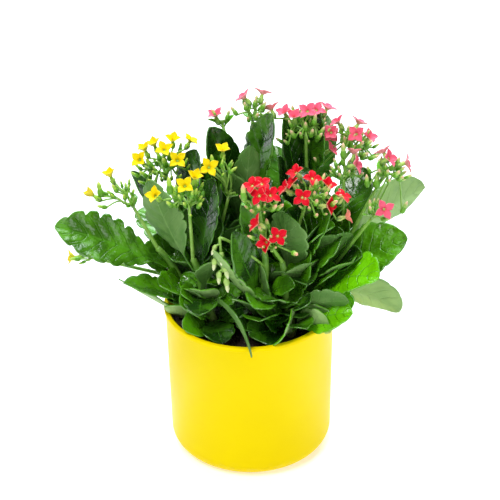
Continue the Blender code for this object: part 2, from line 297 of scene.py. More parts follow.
def make_soil():
    radius = SOIL_HIGH.x - 0.4 * MM
    foot = SOIL_LOW.z
    side = FOOT_ROUND
    profile = [(radius * i / SOIL_RINGS, SOIL_TOP) for i in range(SOIL_RINGS)]
    profile += arc(radius - 3 * MM, SOIL_TOP - 3 * MM, 3 * MM, 90, 0, 4)
    profile += arc(radius - side - 1.5 * MM, foot + side, side, 0, -90, 6)
    profile += [(0, foot)]
    shape = turned(profile, SOIL_STEPS)
    for vert in shape.verts:
        if vert.co.z > SOIL_TOP - 1 * MM:
            vert.co.z = soil_surface(vert.co.x, vert.co.y)
    finish = potting_soil()
    make_piece("soil_plug", shape, [finish], "soil", "soil")
    shape = bmesh.new()
    dice = random.Random(11)
    for _ in range(CRUMBS):
        far = math.sqrt(dice.random()) * (radius - 4 * MM)
        turn = dice.uniform(0, math.tau)
        x, y = far * math.cos(turn), far * math.sin(turn)
        size = dice.uniform(0.8, 2.4) * MM
        squeeze = Matrix.Diagonal((1, dice.uniform(0.5, 1), dice.uniform(0.4, 0.8), 1))
        spin = Matrix.Rotation(dice.uniform(0, math.tau), 4, "Z")
        spin = spin @ Matrix.Rotation(dice.uniform(-0.6, 0.6), 4, "X")
        place = Matrix.Translation((x, y, soil_surface(x, y) + size * 0.2))
        lump = bmesh.ops.create_icosphere(shape, subdivisions=1, radius=size, matrix=place @ spin @ squeeze)
        for vert in lump["verts"]:
            vert.co += Vector([dice.uniform(-0.2, 0.2) * size for _ in range(3)])
    make_piece("soil_crumbs", shape, [finish], "soil")


make_soil()


# ---------------------------------------------------------------- stems
# Each plant stands on three fleshy green stems that lean outwards from the soil. They are swollen a little
# at the nodes where leaves grow, and turn woody brown towards the soil.

LEVEL = POT_TOP - 15 * MM
STEM_RADIUS = 3.25 * MM
STEM_TAPER = 0.72
STEM_BURIED = 14 * MM
STEM_SIDES = 20

# (foot across, foot back), (top across, top back), height, in millimetres
STEMS = {
    "yellow_stem_left": ((-30, 6), (-70, 6), 60),
    "yellow_stem_front": ((-27, -18), (-42, -14), 62),
    "yellow_stem_back": ((-30, 26), (-54, 32), 78),
    "red_stem_left": ((12, -20), (12, -28), 74),
    "red_stem_front": ((32, -25), (25, -28), 66),
    "red_stem_back": ((28, -4), (38, -8), 84),
    "pink_stem_left": ((-6, 24), (-4, 34), 104),
    "pink_stem_middle": ((26, 28), (46, 38), 96),
    "pink_stem_right": ((40, 6), (72, 8), 66),
}


def compass(heading, rise):
    """Unit vector along a heading and a rise above level, both in degrees."""
    h, r = math.radians(heading), math.radians(rise)
    return Vector((math.cos(h) * math.cos(r), math.sin(h) * math.cos(r), math.sin(r)))


def stem_point(stem, height):
    """A point on a stem's centre line, at a height in millimetres above the level near the soil."""
    foot, top, tall = STEMS[stem]
    share = height / tall
    return Vector((*foot, 0)).lerp(Vector((*top, 0)), share) * MM + Vector((0, 0, LEVEL + height * MM))


def stem_radius(stem, height):
    return STEM_RADIUS * (1 - (1 - STEM_TAPER) * max(height / STEMS[stem][2], 0))


def new_shape():
    """An empty bmesh whose vertices carry a tone, which shades a material along or between its parts."""
    shape = bmesh.new()
    shape.verts.layers.float.new("tone")
    shape.loops.layers.uv.new("UVMap")
    return shape


def add_tube(shape, points, radii, sides, finish=0, tones=(0.0,)):
    """A closed round tube through points. Radii and tones go with the points."""
    layer = shape.verts.layers.float["tone"]
    side = (points[1] - points[0]).orthogonal()
    place = None
    for i, (point, radius) in enumerate(zip(points, radii)):
        along = (points[min(i + 1, len(points) - 1)] - points[max(i - 1, 0)]).normalized()
        side = (side - along * side.dot(along)).normalized()
        turn = Matrix((side, along.cross(side), along)).transposed().to_4x4()
        last, place = place, Matrix.Translation(point) @ turn @ Matrix.Diagonal((radius, radius, radius, 1))
        if last is None:
            ring = bmesh.ops.create_circle(
                shape, cap_ends=True, segments=sides, radius=1, matrix=place,
            )["verts"]
            edges = list(ring[0].link_faces[0].edges)
            ring[0].link_faces[0].material_index = finish
        else:
            made = bmesh.ops.extrude_edge_only(shape, edges=edges)["geom"]
            ring = [e for e in made if isinstance(e, bmesh.types.BMVert)]
            edges = [e for e in made if isinstance(e, bmesh.types.BMEdge)]
            bmesh.ops.transform(shape, matrix=place @ last.inverted(), verts=ring)
            for face in (f for f in made if isinstance(f, bmesh.types.BMFace)):
                face.material_index = finish
        for vert in ring:
            vert[layer] = tones[min(i, len(tones) - 1)]
    cap = bmesh.ops.contextual_create(shape, geom=edges)["faces"]
    for face in cap:
        face.material_index = finish


def stem_green(name, low, high, woody):
    """Fleshy stem: its tone runs from the woody foot, 0, to the young top, 1."""
    finish, tree, shader, place = new_finish(name, roughness=0.42)
    patches, grain = mottle(tree, place, 120, 1400)
    tone = add_node(tree, "ShaderNodeAttribute", attribute_name="tone").outputs["Fac"]
    colour = mixed(tree, patches, low, high)
    colour = mixed(tree, spread(tree, tone, 0.02, 0.35, 0.75, 0.0), colour, woody)
    dress(tree, shader, colour, spread(tree, grain, 0.3, 0.7, 0.36, 0.52), grain, 0.00012)
    return finish


STEM_GREEN = stem_green("stem_green", (0.10, 0.27, 0.025, 1), (0.19, 0.40, 0.05, 1), (0.16, 0.12, 0.05, 1))


def make_stem(stem, nodes):
    """A stem with its nodes at the heights that its leaves grow from."""
    tall = STEMS[stem][2]
    foot = (SOIL_TOP - LEVEL - STEM_BURIED) / MM
    steps = 36
    points, radii, tones = [], [], []
    for i in range(steps + 1):
        height = foot + (tall - foot) * i / steps
        swell = sum(math.exp(-((height - node) / 2.2) ** 2) for node in nodes)
        bend = 0.7 * MM * math.sin(height / tall * math.pi * 3)
        points.append(stem_point(stem, height) + Vector((bend, bend, 0)))
        radii.append(stem_radius(stem, height) * (1 + 0.16 * min(swell, 1)))
        tones.append(max(height / tall, 0))
    points.append(points[-1] + (points[-1] - points[-2]).normalized() * 1.2 * MM)
    radii.append(radii[-1] * 0.55)
    tones.append(1)
    shape = new_shape()
    add_tube(shape, points, radii, STEM_SIDES, tones=tones)
    bmesh.ops.recalc_face_normals(shape, faces=shape.faces)
    make_piece(stem + "_grown", shape, [STEM_GREEN], "stem", stem)


# ---------------------------------------------------------------- leaves
# Thick, brittle, glossy leaves with a short channelled petiole and a broad blade whose margin is cut into
# rounded teeth. The upper face is dark green with a sunken midrib, the underside dull and paler, and the
# thin margin paler still. Small leaves and young shoots fill the middle, low among the stems.

LEAF_THICKNESS = 0.9 * MM
PETIOLE_WIDTH = 4.2 * MM
PETIOLE_SHARE = 0.14
WIDEST = 1.2
BLUNT = 0.6
TOOTH = 11.5 * MM

# stem, height on it, heading, rise, droop, turn about the midrib, length, width, cup, tone, teeth; the tone
# goes from dark green, 0, to bright green, 1, partly the leaves' own age and partly painted shade on leaves
# deep in the plant and painted light on brightly lit ones, and teeth is how deep the margin is cut
LEAVES = {
    "yellow_leaf_01": ("yellow_stem_left", 44, 197, 38, 14, 40, 99, 42, 12, 0.28, 0.27),
    "yellow_leaf_02": ("yellow_stem_left", 6, 206, 43, 20, 10, 76, 28, 12, 0.3, 0.2),
    "yellow_leaf_03": ("yellow_stem_front", 3, 172, 24, -10, -34, 79, 21, 12, 0.7, 0.1),
    "yellow_leaf_04": ("yellow_stem_back", 46, 167, 51, -10, 5, 77, 24, 12, 0.0, 0.2),
    "yellow_leaf_05": ("yellow_stem_front", 54, 152, 53, -20, -75, 75, 44, 3, 0.12, 0.2),
    "yellow_leaf_06": ("yellow_stem_back", 50, 49, 80, 10, 0, 52, 36, 12, 0.03, 0.12),
    "yellow_leaf_07": ("yellow_stem_front", 30, 302, 31, 95, 70, 74, 13, 12, 0.0, 0.1),
    "yellow_leaf_08": ("yellow_stem_front", 10, 284, 18, 40, 0, 31, 26, 12, 0.05, 0.15),
    "yellow_leaf_09": ("yellow_stem_front", 34, 266, 12, 20, 0, 32, 26, 12, 0.12, 0.15),
    "yellow_leaf_10": ("yellow_stem_back", 20, 128, 34, 30, 0, 86, 44, 12, 0.3, 0.2),
    "red_leaf_01": ("red_stem_front", 22, 338, 39, 30, 63, 49, 26, 12, 0.12, 0.2),
    "red_leaf_02": ("red_stem_front", 18, 349, 17, 20, 50, 29, 28, 12, 0.75, 0.1),
    "red_leaf_03": ("red_stem_front", 5, 215, 24, 20, 19, 36, 34, 12, 0.05, 0.14),
    "red_leaf_04": ("red_stem_left", 30, 207, 69, -10, 55, 71, 32, 12, 0.22, 0.1),
    "red_leaf_05": ("red_stem_front", 14, 201, 38, -30, -20, 94, 22, 12, 0.6, 0.2),
    "red_leaf_06": ("red_stem_back", 44, 244, 76, -10, 20, 60, 40, 12, 0.0, 0.18),
    "red_leaf_07": ("red_stem_back", 34, 351, 61, 15, -25, 61, 36, 12, 0.25, 0.15),
    "red_leaf_08": ("red_stem_back", 22, 334, 53, 20, -20, 50, 28, 12, 0.3, 0.2),
    "pink_leaf_01": ("pink_stem_left", 61, 215, 84, 16, 81, 101, 33, 12, 0.0, 0.06),
    "pink_leaf_02": ("pink_stem_left", 82, 326, 74, 0, -67, 89, 35, 12, 0.1, 0.18),
    "pink_leaf_03": ("pink_stem_left", 50, 20, 72, 10, 0, 56, 26, 12, 0.1, 0.15),
    "pink_leaf_04": ("pink_stem_left", 71, 281, 80, 50, 37, 48, 24, 12, 0.0, 0.14),
    "pink_leaf_05": ("pink_stem_middle", 77, 288, 98, 125, -23, 68, 25, 12, 0.0, 0.05),
    "pink_leaf_06": ("pink_stem_middle", 60, 190, 80, 0, 30, 66, 22, 12, 0.0, 0.2),
    "pink_leaf_07": ("pink_stem_middle", 58, 70, 60, 10, 0, 97, 42, 12, 0.12, 0.18),
    "pink_leaf_08": ("pink_stem_middle", 40, 103, 60, 20, 0, 86, 36, 12, 0.2, 0.15),
    "pink_leaf_09": ("pink_stem_right", 59, 60, 56, 15, -1, 63, 32, 12, 0.25, 0.15),
    "pink_leaf_10": ("pink_stem_right", 64, 34, 24, 20, 81, 83, 41, 12, 0.55, 0.05),
    "pink_leaf_11": ("pink_stem_right", 24, 349, 47, 20, -31, 83, 47, 12, 0.42, 0.09),
    "pink_leaf_12": ("pink_stem_right", 18, 316, 53, 40, -26, 76, 46, 12, 0.95, 0.17),
    "pink_leaf_13": ("pink_stem_right", 16, 355, 23, 70, 70, 72, 37, 12, 0.6, 0.06),
    "pink_leaf_14": ("pink_stem_right", 3, 316, 46, 40, -9, 53, 33, 12, 0.95, 0.14),
    "pink_leaf_15": ("pink_stem_left", 24, 98, 38, 30, 0, 90, 46, 12, 0.3, 0.2),
    "pink_leaf_16": ("pink_stem_right", 16, 66, 36, 30, 0, 86, 44, 12, 0.3, 0.2),
}

# Small leaves and young shoots low among the stems, in the same terms; the dark tones of those deep among the
# stems are partly painted shade.
SMALL_LEAVES = {
    "small_leaf_01": ("pink_stem_left", 60, 286, 81, 10, 0, 90, 24, 12, 0.05, 0.15),
    "small_leaf_02": ("pink_stem_left", 52, 246, 89, 40, 0, 86, 30, 12, 0.0, 0.15),
    "small_leaf_03": ("yellow_stem_front", 50, 46, 76, 10, 0, 54, 34, 12, 0.0, 0.15),
    "small_leaf_04": ("yellow_stem_back", 40, 311, 86, 10, 10, 59, 36, 12, 0.0, 0.15),
    "small_leaf_05": ("yellow_stem_back", 30, 4, 70, 10, 0, 55, 40, 12, 0.0, 0.15),
    "small_leaf_06": ("pink_stem_left", 40, 301, 70, 10, 0, 64, 40, 12, 0.0, 0.15),
    "small_leaf_07": ("pink_stem_left", 30, 280, 74, 20, 0, 62, 38, 12, 0.1, 0.15),
    "small_leaf_08": ("red_stem_left", 20, 192, 98, 20, 0, 45, 34, 12, 0.1, 0.15),
    "small_leaf_09": ("red_stem_left", 50, 158, 84, 10, 20, 67, 26, 12, 0.2, 0.15),
    "small_leaf_10": ("red_stem_back", 50, 350, 77, 20, 0, 44, 30, 12, 0.2, 0.15),
    "small_leaf_11": ("red_stem_back", 60, 343, 63, 30, 0, 41, 30, 12, 0.5, 0.15),
    "small_leaf_12": ("pink_stem_middle", 40, 337, 74, 10, 0, 75, 40, 12, 0.2, 0.15),
    "small_leaf_13": ("pink_stem_middle", 30, 347, 64, 20, 0, 78, 40, 12, 0.2, 0.15),
    "small_leaf_14": ("pink_stem_right", 40, 281, 76, 30, 0, 52, 36, 12, 0.1, 0.15),
    "small_leaf_15": ("pink_stem_left", 20, 258, 62, 30, 0, 46, 36, 12, 0.1, 0.15),
    "small_leaf_16": ("yellow_stem_front", 20, 261, 73, 40, 0, 43, 24, 12, 0.5, 0.15),
    "small_leaf_17": ("yellow_stem_front", 24, 217, 65, 30, 0, 30, 26, 12, 0.5, 0.15),
    "small_leaf_18": ("yellow_stem_left", 20, 237, 51, 30, 30, 50, 26, 12, 0.4, 0.15),
    "small_leaf_19": ("yellow_stem_front", 40, 299, 72, 20, 0, 34, 20, 12, 0.3, 0.15),
    "small_leaf_20": ("yellow_stem_back", 20, 238, 55, 20, 0, 49, 36, 12, 0.2, 0.15),
    "small_leaf_21": ("red_stem_left", 8, 228, 65, 30, 0, 52, 26, 12, 0.3, 0.15),
    "small_leaf_22": ("red_stem_left", 6, 242, 78, 30, 0, 46, 30, 12, 0.1, 0.15),
    "small_leaf_23": ("red_stem_front", 30, 228, 52, 40, 0, 31, 30, 12, 0.2, 0.15),
    "small_leaf_24": ("red_stem_back", 12, 303, 79, 30, 0, 62, 36, 12, 0.3, 0.15),
    "small_leaf_25": ("red_stem_back", 16, 264, 78, 30, 0, 49, 30, 12, 0.1, 0.15),
    "small_leaf_26": ("pink_stem_middle", 20, 273, 79, 30, 0, 61, 44, 12, 0.0, 0.15),
    "small_leaf_27": ("pink_stem_left", 14, 291, 69, 30, 0, 45, 44, 12, 0.0, 0.15),
    "small_leaf_28": ("pink_stem_right", 24, 315, 57, 20, 0, 50, 40, 12, 0.5, 0.15),
    "small_leaf_29": ("pink_stem_middle", 50, 337, 66, 10, -45, 52, 34, 12, 0.2, 0.15),
    "small_leaf_30": ("pink_stem_right", 40, 24, 83, 15, -10, 51, 34, 12, 0.4, 0.15),
    "small_leaf_31": ("pink_stem_middle", 60, 345, 76, 10, -45, 38, 36, 12, 0.1, 0.15),
    "small_leaf_32": ("pink_stem_left", 30, 332, 70, 10, -55, 76, 34, 12, 0.0, 0.15),
    "small_leaf_33": ("red_stem_back", 40, 31, 92, 10, -5, 61, 34, 12, 0.0, 0.15),
    "small_leaf_34": ("red_stem_back", 46, 344, 76, 20, -40, 61, 30, 12, 0.3, 0.15),
    "small_leaf_35": ("yellow_stem_back", 30, 309, 90, 10, -90, 82, 36, 12, 0.0, 0.15),
    "small_leaf_36": ("pink_stem_left", 60, 312, 89, 10, -90, 63, 36, 12, 0.0, 0.15),
    "small_leaf_37": ("yellow_stem_left", 6, 218, 53, 40, 20, 39, 26, 12, 0.3, 0.15),
    "small_leaf_39": ("red_stem_left", 20, 219, 78, 10, 70, 29, 24, 12, 0.2, 0.15),
    "small_leaf_40": ("red_stem_front", 20, 20, 86, 20, -15, 54, 26, 12, 0.3, 0.15),
    "small_leaf_41": ("pink_stem_middle", 90, 262, 104, 150, 0, 74, 20, -25, 0.0, 0.04),
    "small_leaf_42": ("yellow_stem_back", 62, 17, 89, 10, -20, 69, 34, 12, 0.0, 0.15),
    "small_leaf_43": ("yellow_stem_back", 40, 324, 80, 10, -70, 98, 40, 12, 0.05, 0.12),
    "small_leaf_44": ("yellow_stem_front", 50, 42, 83, 10, 5, 76, 34, 12, 0.0, 0.15),
    "small_leaf_45": ("pink_stem_middle", 84, 154, 79, 0, 10, 69, 26, 12, 0.0, 0.2),
    "small_leaf_46": ("pink_stem_middle", 90, 64, 81, 0, 25, 69, 44, 12, 0.1, 0.1),
    "small_leaf_47": ("red_stem_front", 10, 327, 32, 40, 65, 34, 34, 12, 0.75, 0.1),
    "small_leaf_48": ("yellow_stem_front", 2, 189, 40, 10, -55, 41, 20, 12, 0.7, 0.08),
    "small_leaf_49": ("red_stem_left", 34, 221, 63, -10, 75, 73, 30, 12, 0.12, 0.12),
    "small_leaf_50": ("red_stem_front", 6, 338, 43, 30, -30, 52, 34, 12, 0.95, 0.1),
    "small_leaf_51": ("red_stem_front", 4, 262, 42, 20, -65, 46, 34, 12, 0.7, 0.06),
}

# Heights of the pairs of low leaves on a stem, the heading of the lowest pair, and how long they are.
LOW_LEAVES = {
    "yellow_stem_left": ((3, 10, 17, 25), 20, 34),
    "yellow_stem_front": ((2, 8, 14, 20, 27), 250, 34),
    "yellow_stem_back": ((4, 12, 20, 30, 40), 300, 44),
    "red_stem_left": ((2, 8, 14, 21, 29, 38), 240, 34),
    "red_stem_front": ((2, 9, 16, 26), 215, 30),
    "red_stem_back": ((4, 12, 20, 30, 42), 280, 42),
    "pink_stem_left": ((4, 12, 20, 30, 42, 56), 260, 48),
    "pink_stem_middle": ((4, 12, 22, 34, 48), 250, 48),
    "pink_stem_right": ((4, 12, 22, 34), 230, 40),
}


def arching_point(heading, rise, droop, length, share):
    """A point on an arc from the origin that leaves at one rise and bends down by droop over its length."""
    first, bend = math.radians(rise), math.radians(droop)
    if abs(bend) < 0.01:
        return compass(heading, rise) * (length * share)
    last = first - bend * share
    outward = length / bend * (math.sin(first) - math.sin(last))
    upward = length / bend * (math.cos(last) - math.cos(first))
    return compass(heading, 0) * outward + Vector((0, 0, upward))


def growing_point(stem, height, heading, rise, radius):
    """Where a leaf or stalk of this radius starts: beside its stem, or on its top."""
    tall = STEMS[stem][2]
    along = (stem_point(stem, tall) - stem_point(stem, 0)).normalized()
    gap = 0.3 * MM
    if height < tall:
        lean = max(along.dot(compass(heading, 0)) / along.z, 0)
        clear = stem_radius(stem, height) + 2 * gap + radius * (math.sin(math.radians(rise)) + lean)
        return stem_point(stem, height) + compass(heading, 0) * clear
    lean = along.angle(compass(heading, rise))
    return stem_point(stem, height) + along * (gap + radius * math.sin(lean))


def add_blade(shape, origin, facing, heading, rise, droop, length, rows, columns, half_width, lift,
              turn=0, root=0.0, finish=0, tone=0.0):
    """One leaf, petal or sepal: a grid bent along an arc, in the frame that facing turns it to.

    half_width(share, across) and lift(share, across, half) shape it from its share of the length and from
    -1 to 1 across; root is how far it reaches back behind its start, as a share.
    """
    tones = shape.verts.layers.float["tone"]
    uvs = shape.loops.layers.uv["UVMap"]
    left = compass(heading + 90, 0)
    made = bmesh.ops.create_grid(shape, x_segments=rows, y_segments=columns, size=1)["verts"]
    spots = {}
    for vert in made:
        step = (vert.co.x + 1) / 2
        share = -root + (1 + root) * (1 - (1 - step) ** 1.4)
        across = vert.co.y
        spots[vert] = (share, across)
        half = half_width(share, across)
        along = compass(heading, rise - droop * share)
        twist = Matrix.Rotation(-math.radians(turn) * min(max(share, 0) / 0.25, 1), 3, along)
        side = twist @ left
        up = twist @ along.cross(left)
        middle = arching_point(heading, rise, droop, length, share)
        vert.co = origin + facing @ (middle + side * (half * across) + up * lift(share, across, half))
        vert[tones] = tone
    for face in {face for vert in made for face in vert.link_faces}:
        face.material_index = finish
        for loop in face.loops:
            share, across = spots[loop.vert]
            loop[uvs].uv = (share, across / 2 + 0.5)


def leaf_shape(length, width, cup, cut, seed):
    """How wide a leaf is and how its blade rises and falls: teeth, midrib, veins and a wavy margin."""
    dice = random.Random(seed)
    phase = dice.uniform(0, math.tau)
    waves = dice.uniform(1.6, 2.6)
    wave = dice.uniform(0.6, 1.3) * MM * min(width / (40 * MM), 1)
    skew = dice.uniform(-0.5, 0.5)
    teeth = max(round((1 - PETIOLE_SHARE) * length / TOOTH), 3)

    def half_width(share, across):
        blade = (share - PETIOLE_SHARE) / (1 - PETIOLE_SHARE)
        petiole = min(PETIOLE_WIDTH, width * 0.3) / 2
        if blade <= 0:
            return petiole
        broad = width / 2 * max(math.sin(math.pi * min(blade ** WIDEST, 1)), 0) ** BLUNT
        count = teeth * blade + 0.3 * math.sin(5 * blade + phase + across) + skew * math.copysign(0.2, across)
        notch = (1 - abs(math.cos(math.pi * count))) ** 2
        notch *= min(blade * 4, 1) * abs(across) ** 3
        return math.hypot(broad * (1 - cut * notch), petiole * (1 - blade))

    def lift(share, across, half):
        blade = max((share - PETIOLE_SHARE) / (1 - PETIOLE_SHARE), 0)
        fold = half * math.tan(math.radians(cup)) * abs(across) ** 1.3
        swing = math.sin(math.tau * waves * share + phase * math.copysign(1, across))
        edge = wave * abs(across) ** 2.5 * swing
        rib = 0.7 * MM * math.exp(-((across * half) / (1.6 * MM)) ** 2) * (1 - share)
        between = abs(across) * (1 - abs(across)) * 4 * min(blade * 3, 1)
        veins = 0.35 * MM * between * math.cos(math.tau * (teeth * blade - 1.6 * abs(across)))
        return fold + edge - rib + veins * min(half / (15 * MM), 1)

    return half_width, lift


VEIN_COUNT = 8.0
VEIN_SLANT = -3.2


def vein_group():
    """Where a leaf's midrib and side veins run, from its UV map, and how near its margin is."""
    group, start, end = new_group(
        "leaf_veins", [("UV", "NodeSocketVector", None)],
        [("Midrib", "NodeSocketFloat"), ("Veins", "NodeSocketFloat"), ("Margin", "NodeSocketFloat")],
    )
    parts = add_node(group, "ShaderNodeSeparateXYZ", {"Vector": start.outputs["UV"]})
    along = parts.outputs["X"]
    off = maths(group, "ABSOLUTE", maths(group, "SUBTRACT", parts.outputs["Y"], 0.5))
    wander = add_node(group, "ShaderNodeTexNoise", {
        "Vector": start.outputs["UV"], "Scale": 5.0, "Detail": 2.0,
    })
    slant = maths(group, "MULTIPLY", along, VEIN_COUNT)
    slant = maths(group, "ADD", slant, maths(group, "MULTIPLY", off, VEIN_SLANT))
    slant = maths(group, "ADD", slant, maths(group, "MULTIPLY", wander.outputs["Fac"], 0.5))
    near = maths(group, "PINGPONG", slant, 0.5)
    veins = spread(group, near, 0.0, 0.07, 1.0, 0.0)
    veins = maths(group, "MULTIPLY", veins, spread(group, off, 0.3, 0.46, 1.0, 0.0))
    width = spread(group, along, 0.1, 1.0, 0.045, 0.012)
    midrib = maths(group, "SUBTRACT", 1.0, maths(group, "DIVIDE", off, width))
    group.links.new(maths(group, "MAXIMUM", midrib, 0.0), end.inputs["Midrib"])
    group.links.new(veins, end.inputs["Veins"])
    group.links.new(spread(group, off, 0.46, 0.5), end.inputs["Margin"])
    return group


VEINS = vein_group()


def leaf_finish(name, dark, bright, vein, margin, rough, gloss, relief):
    """One face of the leaves. Its tone runs from dark to bright green: partly the leaf's own age, partly
    painted shade and painted light.
    """
    finish, tree, shader, place = new_finish(name, roughness=0.3, specular_ior_level=gloss)
    patches, grain = mottle(tree, place, 60, 1800)
    uv = add_node(tree, "ShaderNodeUVMap", uv_map="UVMap").outputs[0]
    lines = add_node(tree, "ShaderNodeGroup", node_tree=VEINS)
    tree.links.new(uv, lines.inputs["UV"])
    tone = add_node(tree, "ShaderNodeAttribute", attribute_name="tone").outputs["Fac"]
    uneven = maths(tree, "ADD", tone, spread(tree, patches, 0.0, 1.0, -0.14, 0.14))
    # painted shade and light: a low tone darkens leaves deep in the plant and a high tone brightens lit ones,
    # as well as the green of their age
    colour = mixed(tree, maths(tree, "MAXIMUM", uneven, 0.0), dark, bright)
    colour = mixed(tree, maths(tree, "MULTIPLY", lines.outputs["Veins"], 0.28), colour, vein)
    colour = mixed(tree, maths(tree, "MULTIPLY", lines.outputs["Midrib"], 0.7), colour, vein)
    colour = mixed(tree, maths(tree, "MULTIPLY", lines.outputs["Margin"], 0.55), colour, margin)
    height = maths(tree, "MULTIPLY", lines.outputs["Veins"], -2.0)
    height = maths(tree, "ADD", height, maths(tree, "MULTIPLY", grain, 0.15))
    pucker = add_node(tree, "ShaderNodeTexNoise", {"Vector": place, "Scale": 170.0, "Detail": 2.0})
    height = maths(tree, "ADD", height, maths(tree, "MULTIPLY", pucker.outputs["Fac"], 4.0))
    dress(tree, shader, colour, spread(tree, patches, 0.0, 1.0, rough, rough + 0.16), height, relief)
    return finish


LEAF_FINISHES = [
    leaf_finish("leaf_upper", (0.010, 0.052, 0.003, 1), (0.19, 0.66, 0.0, 1), (0.09, 0.33, 0.02, 1),
                (0.10, 0.32, 0.02, 1), 0.18, 0.7, 0.00026),
    leaf_finish("leaf_under", (0.10, 0.24, 0.045, 1), (0.36, 0.56, 0.19, 1), (0.26, 0.46, 0.14, 1),
                (0.30, 0.50, 0.18, 1), 0.45, 0.3, 0.00012),
]


def make_leaves(name, leaves, seed, *nodes):
    shape = new_shape()
    for i, (stem, height, heading, rise, droop, turn, length, width, cup, tone, teeth) in enumerate(leaves):
        length *= MM
        width *= MM
        start = growing_point(stem, height, heading, rise, LEAF_THICKNESS / 2)
        inside = (stem_radius(stem, height) + 1 * MM) / length
        half_width, lift = leaf_shape(length, width, cup, teeth, seed * 100 + i)
        rows = max(round(length / (1.5 * MM)), 20)
        columns = max(round(width / (2.6 * MM)), 8)
        add_blade(shape, start, Matrix.Identity(3), heading, rise, droop, length, rows, columns, half_width,
                  lift, turn=turn, root=inside, tone=tone)
    leaf = make_piece(name + "_blade", shape, LEAF_FINISHES, "leaf", *nodes)
    thick = leaf.modifiers.new("thickness", "SOLIDIFY")
    thick.thickness = LEAF_THICKNESS
    thick.offset = 0
    thick.material_offset = 1
    return leaf


def low_leaves(stem, heights, heading, length, seed):
    """Pairs of small leaves up a stem, each pair turned a right angle from the one below."""
    dice = random.Random(seed)
    leaves = []
    for i, height in enumerate(heights):
        for side in (0, 180):
            turn = heading + 90 * i + side + dice.uniform(-25, 25)
            long = length * dice.uniform(0.75, 1.15)
            twist = -45 * math.cos(math.radians(turn)) + dice.uniform(-15, 15)
            climb = 56 + 12 * math.sin(math.radians(turn)) + dice.uniform(-6, 8)
            # the tone is kept low: partly painted shade low among the stems
            leaves.append((stem, height, turn, climb, dice.uniform(10, 50), twist,
                           long, long * dice.uniform(0.6, 0.75), 14, dice.uniform(0.05, 0.5), 0.15))
    return leaves


for seed, (name, row) in enumerate(LEAVES.items()):
    make_leaves(name, [row], seed, name)
for seed, (name, row) in enumerate(SMALL_LEAVES.items()):
    make_leaves(name, [row], 50 + seed)
for seed, (stem, (heights, heading, length)) in enumerate(LOW_LEAVES.items()):
    make_leaves(stem + "_low_leaves", low_leaves(stem, heights, heading, length, seed), 90 + seed)

for stem in STEMS:
    make_stem(stem, [row[1] for row in LEAVES.values() if row[0] == stem])


# ---------------------------------------------------------------- flower heads
# Each stalk ends in a branching cluster. A flower is a slender tube in a cup of four green sepals, and
# spreads into four petals with a bright face and a pale back. Unopened buds stand between the flowers,
# green at the foot, and coloured at the tip. A pair of small bracts grows where the stalk branches.

STALK_RADIUS = 1.6 * MM
STALK_TAPER = 0.75
PEDICEL_RADIUS = 0.7 * MM
FORK_RADIUS = 1.05 * MM
TUBE_LENGTH = 7 * MM
THROAT_RADIUS = 1.0 * MM
PETAL_LENGTH = 7.5 * MM
PETAL_WIDTH = 5.9 * MM
PETAL_FOOT = 0.28
PETAL_THICKNESS = 0.35 * MM
SEPAL_LENGTH = 4.2 * MM
SEPAL_WIDTH = 1.9 * MM
BUD_LENGTH = 10 * MM
BUD_RADIUS = 2.0 * MM
GOLDEN_ANGLE = 137.5
LEAF_SIDE = 2


def petal_half_width(share, across):
    swell = math.sin(math.pi * min(share, 1) ** 1.05) ** 0.9
    return PETAL_WIDTH / 2 * (PETAL_FOOT + (1 - PETAL_FOOT) * swell) * (1 - share ** 5)


def petal_lift(share, across, half):
    return half * 0.3 * across * across - 0.3 * MM * math.exp(-(across * 3) ** 2)


def sepal_half_width(share, across):
    return SEPAL_WIDTH / 2 * (1 - share) ** 0.7


def sepal_lift(share, across, half):
    return half * 0.5 * across * across


def facing_frame(heading, rise):
    return compass(heading, rise).to_track_quat("Z", "Y").to_matrix()


def curve_points(start, lean, end, steps):
    """Points along a bend that leaves start towards lean and reaches end."""
    return [start.lerp(lean, i / steps).lerp(lean.lerp(end, i / steps), i / steps) for i in range(steps + 1)]


def add_flower(green, petals, branch, axis, place, heading, rise, opening, size=1.0, spin=0.0):
    """A flower with its pedicel. Petals are flat when opening is 1 and closed when it is 0."""
    face = compass(heading, rise)
    frame = facing_frame(heading, rise)
    base = place - face * TUBE_LENGTH * size
    reach = (base - branch).length
    add_tube(green, curve_points(branch, branch + axis * reach * 0.45, base, 5), [PEDICEL_RADIUS] * 6, 6)
    shares = (0.0, 0.15, 0.4, 0.75, 1.0)
    widths = (0.8, 1.9, 2.1, 1.5, 1.1)
    add_tube(green, [base.lerp(place, s) for s in shares], [w * MM * size for w in widths], 8,
             finish=1, tones=(0.1, 0.25, 0.55, 0.62, 0.5))
    for k in range(4):
        quarter = spin + 90 * k
        add_blade(petals, place + frame @ compass(quarter, 0) * THROAT_RADIUS * 0.6 * size, frame, quarter,
                  86 - 58 * opening, 20 + 25 * opening, PETAL_LENGTH * size, 5, 4,
                  petal_half_width, petal_lift, tone=opening)
        add_blade(petals, base + frame @ compass(quarter + 45, 0) * 1.1 * MM * size, frame, quarter + 45,
                  66, -20, SEPAL_LENGTH * size, 3, 2,
                  sepal_half_width, sepal_lift, finish=LEAF_SIDE, tone=0.55)


def add_bud(green, branch, axis, place, direction, size=1.0):
    """An unopened bud on its pedicel, with its tip at the far end of its direction."""
    reach = (place - branch).length
    add_tube(green, curve_points(branch, branch + axis * reach * 0.4, place, 4), [PEDICEL_RADIUS] * 5, 5)
    shares = (-0.05, 0.06, 0.25, 0.46, 0.5, 0.68, 0.88, 1.0)
    widths = (0.45, 0.95, 1.1, 0.85, 0.72, 0.8, 0.45, 0.08)
    tones = (0.0, 0.05, 0.1, 0.2, 0.45, 0.7, 0.9, 1.0)
    add_tube(green, [place + direction * BUD_LENGTH * size * s for s in shares],
             [BUD_RADIUS * w * size for w in widths], 7, finish=1, tones=tones)


